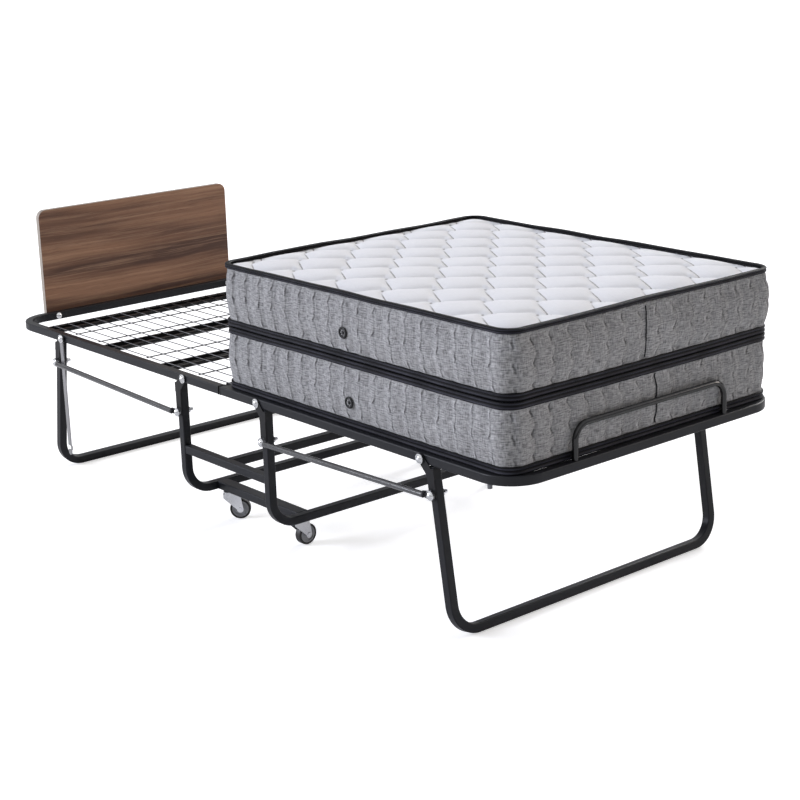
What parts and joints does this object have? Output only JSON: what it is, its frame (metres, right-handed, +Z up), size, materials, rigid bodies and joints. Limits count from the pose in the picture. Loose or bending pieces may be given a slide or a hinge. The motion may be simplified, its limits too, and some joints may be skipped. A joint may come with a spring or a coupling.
{
  "type": "folding cot",
  "caption": "Folding roll-away bed: two tube frame halves with wire decks fold up about a wheeled carriage, with wooden headboard, foot hoop, swinging legs and a mattress in two stacked halves",
  "frame": {"origin": "middle of the bounding box, on the floor", "axes": "+X to the foot end, +Y to the left side, +Z up"},
  "size_m": [1.919, 0.838, 0.66],
  "materials": {
    "black_tube": "satin",
    "black_sheet": "satin",
    "grey_wire": "satin",
    "black_wire": "satin",
    "bright_bolt": "polished",
    "zinc": "satin",
    "black_plastic": "matte",
    "wheel_plastic": "satin",
    "tyre": "matte",
    "walnut": "satin",
    "mattress_fabric": "matte"
  },
  "bodies": {
    "carriage": {"carriage_leg_head": "black_tube", "carriage_leg_foot": "black_tube", "carriage_brackets_head": "black_sheet", "carriage_brackets_foot": "black_sheet", "carriage_side_rail_right": "black_tube", "carriage_side_rail_left": "black_tube", "carriage_cross_brace": "black_tube", "caster_rail_right": "black_tube", "caster_rail_left": "black_tube", "carriage_bolts_head": "bright_bolt", "carriage_bolts_foot": "bright_bolt", "caster_mounts": "black_plastic"},
    "head_half": {"head_frame": "black_tube", "head_frame_plugs": "black_plastic", "head_bands": "black_sheet", "head_wires_long": "grey_wire", "head_wires_cross": "black_wire", "headboard": "walnut", "headboard_spacers": "black_plastic", "headboard_bolts": "bright_bolt"},
    "foot_half": {"foot_frame": "black_tube", "foot_frame_plugs": "black_plastic", "foot_bands": "black_sheet", "foot_wires_long": "grey_wire", "foot_wires_cross": "black_wire", "foot_hoop": "black_tube", "rail_bumper": "black_plastic", "mattress_lower": "mattress_fabric", "mattress_lower_vents": "black_plastic"},
    "head_leg_body": {"head_leg": "black_tube", "head_leg_brackets": "black_sheet", "head_leg_bolts": "bright_bolt"},
    "foot_leg_body": {"foot_leg": "black_tube", "foot_leg_brackets": "black_sheet", "foot_leg_bolts": "bright_bolt"},
    "head_links": {"head_link_right": "black_tube", "head_link_left": "black_tube"},
    "foot_links": {"foot_link_right": "black_tube", "foot_link_left": "black_tube"},
    "latch": {"latch_hook": "zinc"},
    "upper_mattress": {"mattress_upper": "mattress_fabric", "mattress_upper_vents": "black_plastic"},
    "caster_1": {"caster_1_fork": "zinc", "caster_1_axle": "zinc"},
    "caster_1_roller": {"caster_1_wheel": "wheel_plastic", "caster_1_tyre": "tyre"},
    "caster_2": {"caster_2_fork": "zinc", "caster_2_axle": "zinc"},
    "caster_2_roller": {"caster_2_wheel": "wheel_plastic", "caster_2_tyre": "tyre"},
    "caster_3": {"caster_3_fork": "zinc", "caster_3_axle": "zinc"},
    "caster_3_roller": {"caster_3_wheel": "wheel_plastic", "caster_3_tyre": "tyre"},
    "caster_4": {"caster_4_fork": "zinc", "caster_4_axle": "zinc"},
    "caster_4_roller": {"caster_4_wheel": "wheel_plastic", "caster_4_tyre": "tyre"}
  },
  "joints": [
    {"name": "head_fold", "type": "hinge", "parent": "carriage", "child": "head_half", "pos_m": [-0.1355, 0, 0.366], "axis": [0, 1, 0], "range_deg": [0, 90], "deforming": ["mattress_upper"]},
    {"name": "foot_fold", "type": "hinge", "parent": "carriage", "child": "foot_half", "pos_m": [0.1545, 0, 0.366], "axis": [0, -1, 0], "range_deg": [0, 90]},
    {"name": "head_leg_fold", "type": "hinge", "parent": "head_half", "child": "head_leg_body", "pos_m": [-0.6875, 0, 0.366], "axis": [0, -1, 0], "range_deg": [0, 100]},
    {"name": "foot_leg_fold", "type": "hinge", "parent": "foot_half", "child": "foot_leg_body", "pos_m": [0.7065, 0, 0.366], "axis": [0, 1, 0], "range_deg": [0, 100]},
    {"name": "head_link_swing", "type": "hinge", "parent": "carriage", "child": "head_links", "pos_m": [-0.1575, 0, 0.282], "axis": [0, 1, 0], "range_deg": [0, 90]},
    {"name": "foot_link_swing", "type": "hinge", "parent": "carriage", "child": "foot_links", "pos_m": [0.1765, 0, 0.282], "axis": [0, -1, 0], "range_deg": [0, 90]},
    {"name": "latch_swing", "type": "hinge", "parent": "head_leg_body", "child": "latch", "pos_m": [-0.6875, -0.40435, 0.366], "axis": [0, -1, 0], "range_deg": [-12, 99]},
    {"name": "mattress_open", "type": "hinge", "parent": "foot_half", "child": "upper_mattress", "pos_m": [0.0132, 0, 0.5195], "axis": [0, 1, 0], "range_deg": [-180, 0]},
    {"name": "caster_1_swivel", "type": "hinge", "parent": "carriage", "child": "caster_1", "pos_m": [-0.124, -0.298, 0.06], "axis": [0, 0, 1], "continuous": true},
    {"name": "caster_1_roll", "type": "hinge", "parent": "caster_1", "child": "caster_1_roller", "pos_m": [-0.10793, -0.27885, 0.025], "axis": [-0.766, 0.6428, 0], "continuous": true},
    {"name": "caster_2_swivel", "type": "hinge", "parent": "carriage", "child": "caster_2", "pos_m": [0.143, -0.298, 0.06], "axis": [0, 0, 1], "continuous": true},
    {"name": "caster_2_roll", "type": "hinge", "parent": "caster_2", "child": "caster_2_roller", "pos_m": [0.14213, -0.27302, 0.025], "axis": [-0.9994, -0.0349, 0], "continuous": true},
    {"name": "caster_3_swivel", "type": "hinge", "parent": "carriage", "child": "caster_3", "pos_m": [-0.124, 0.298, 0.06], "axis": [0, 0, 1], "continuous": true},
    {"name": "caster_3_roll", "type": "hinge", "parent": "caster_3", "child": "caster_3_roller", "pos_m": [-0.11545, 0.32149, 0.025], "axis": [-0.9397, 0.342, 0], "continuous": true},
    {"name": "caster_4_swivel", "type": "hinge", "parent": "carriage", "child": "caster_4", "pos_m": [0.143, 0.298, 0.06], "axis": [0, 0, 1], "continuous": true},
    {"name": "caster_4_roll", "type": "hinge", "parent": "caster_4", "child": "caster_4_roller", "pos_m": [0.13445, 0.32149, 0.025], "axis": [-0.9397, -0.342, 0], "continuous": true}
  ],
  "couplings": [
    {"joint": "foot_fold", "follows": "head_fold", "ratio": 1},
    {"joint": "head_leg_fold", "follows": "head_fold", "ratio": 1.1},
    {"joint": "foot_leg_fold", "follows": "head_fold", "ratio": 1.1},
    {"joint": "head_link_swing", "follows": "head_fold", "ratio": 0.98},
    {"joint": "foot_link_swing", "follows": "head_fold", "ratio": 0.98}
  ]
}
